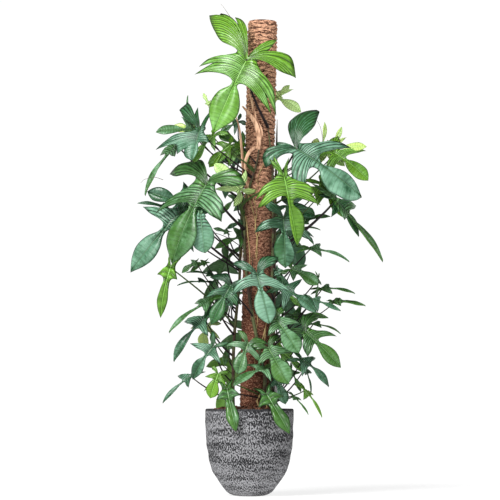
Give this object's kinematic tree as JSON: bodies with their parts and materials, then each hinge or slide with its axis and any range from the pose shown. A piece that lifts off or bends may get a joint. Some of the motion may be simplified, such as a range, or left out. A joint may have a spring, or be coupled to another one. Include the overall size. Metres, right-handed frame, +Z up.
{
  "type": "potted climbing philodendron",
  "caption": "Climbing philodendron with deeply lobed glossy leaves on long dark petioles, trained up a leaning coir pole in a soil-filled, chiselled grey pot.",
  "frame": {"origin": "centre of the pot's flat foot", "axes": "+Z up along the plant, the front of the plant faces -Y, +X to its right as seen from the front"},
  "size_m": [0.8527, 0.4938, 1.6311],
  "materials": {
    "pot": "matt grey stoneware, chiselled all over with slanting flecks",
    "soil": "moist potting mix with reddish bark chips",
    "coir": "rough bound coconut fibre, light at the top and darker below",
    "stake": "plain turned stake, hidden inside the coir",
    "stem": "smooth dark brown green stems and petioles, tan sheaths, pale roots",
    "leaf_dark": "glossy dark blue green leaf with sunk veins",
    "leaf_mid": "glossy mid green leaf with sunk veins",
    "leaf_bright": "glossy bright yellow green leaf with a light midrib",
    "leaf_pale": "thin pale green young leaf",
    "leaf_grey": "leaf turned to the light, grey green with a silvery sheen"
  },
  "bodies": {
    "root": {"pot": "pot", "soil": "soil", "pole_coir": "coir", "pole_stake": "stake", "vine_1": "stem", "vine_2": "stem", "vine_3": "stem", "vine_4": "stem", "vine_5": "stem", "leaf_01": "leaf_bright", "leaf_02": "leaf_dark", "leaf_03": "leaf_mid", "leaf_04": "leaf_bright", "leaf_05": "leaf_mid", "leaf_06": "leaf_dark", "leaf_07": "leaf_dark", "leaf_08": "leaf_bright", "leaf_09": "leaf_mid", "leaf_10": "leaf_pale", "leaf_11": "leaf_grey", "leaf_12": "leaf_pale", "leaf_13": "leaf_dark", "leaf_14": "leaf_bright", "leaf_15": "leaf_bright", "leaf_16": "leaf_dark", "leaf_17": "leaf_dark", "leaf_18": "leaf_mid", "leaf_19": "leaf_bright", "leaf_20": "leaf_mid", "leaf_21": "leaf_dark", "leaf_22": "leaf_mid", "leaf_23": "leaf_dark", "leaf_24": "leaf_mid", "leaf_25": "leaf_dark", "leaf_26": "leaf_mid", "leaf_27": "leaf_mid", "leaf_28": "leaf_mid", "leaf_29": "leaf_dark", "leaf_30": "leaf_mid", "leaf_31": "leaf_mid", "leaf_32": "leaf_mid", "leaf_33": "leaf_bright", "leaf_34": "leaf_dark", "leaf_35": "leaf_mid", "leaf_36": "leaf_dark", "leaf_37": "leaf_dark", "leaf_38": "leaf_dark", "leaf_39": "leaf_dark", "leaf_40": "leaf_bright", "leaf_41": "leaf_pale", "leaf_42": "leaf_mid", "leaf_43": "leaf_bright", "leaf_44": "leaf_dark", "leaf_45": "leaf_bright", "leaf_46": "leaf_mid", "leaf_47": "leaf_dark", "leaf_48": "leaf_mid", "leaf_49": "leaf_dark", "leaf_50": "leaf_mid", "leaf_51": "leaf_dark"}
  },
  "joints": []
}
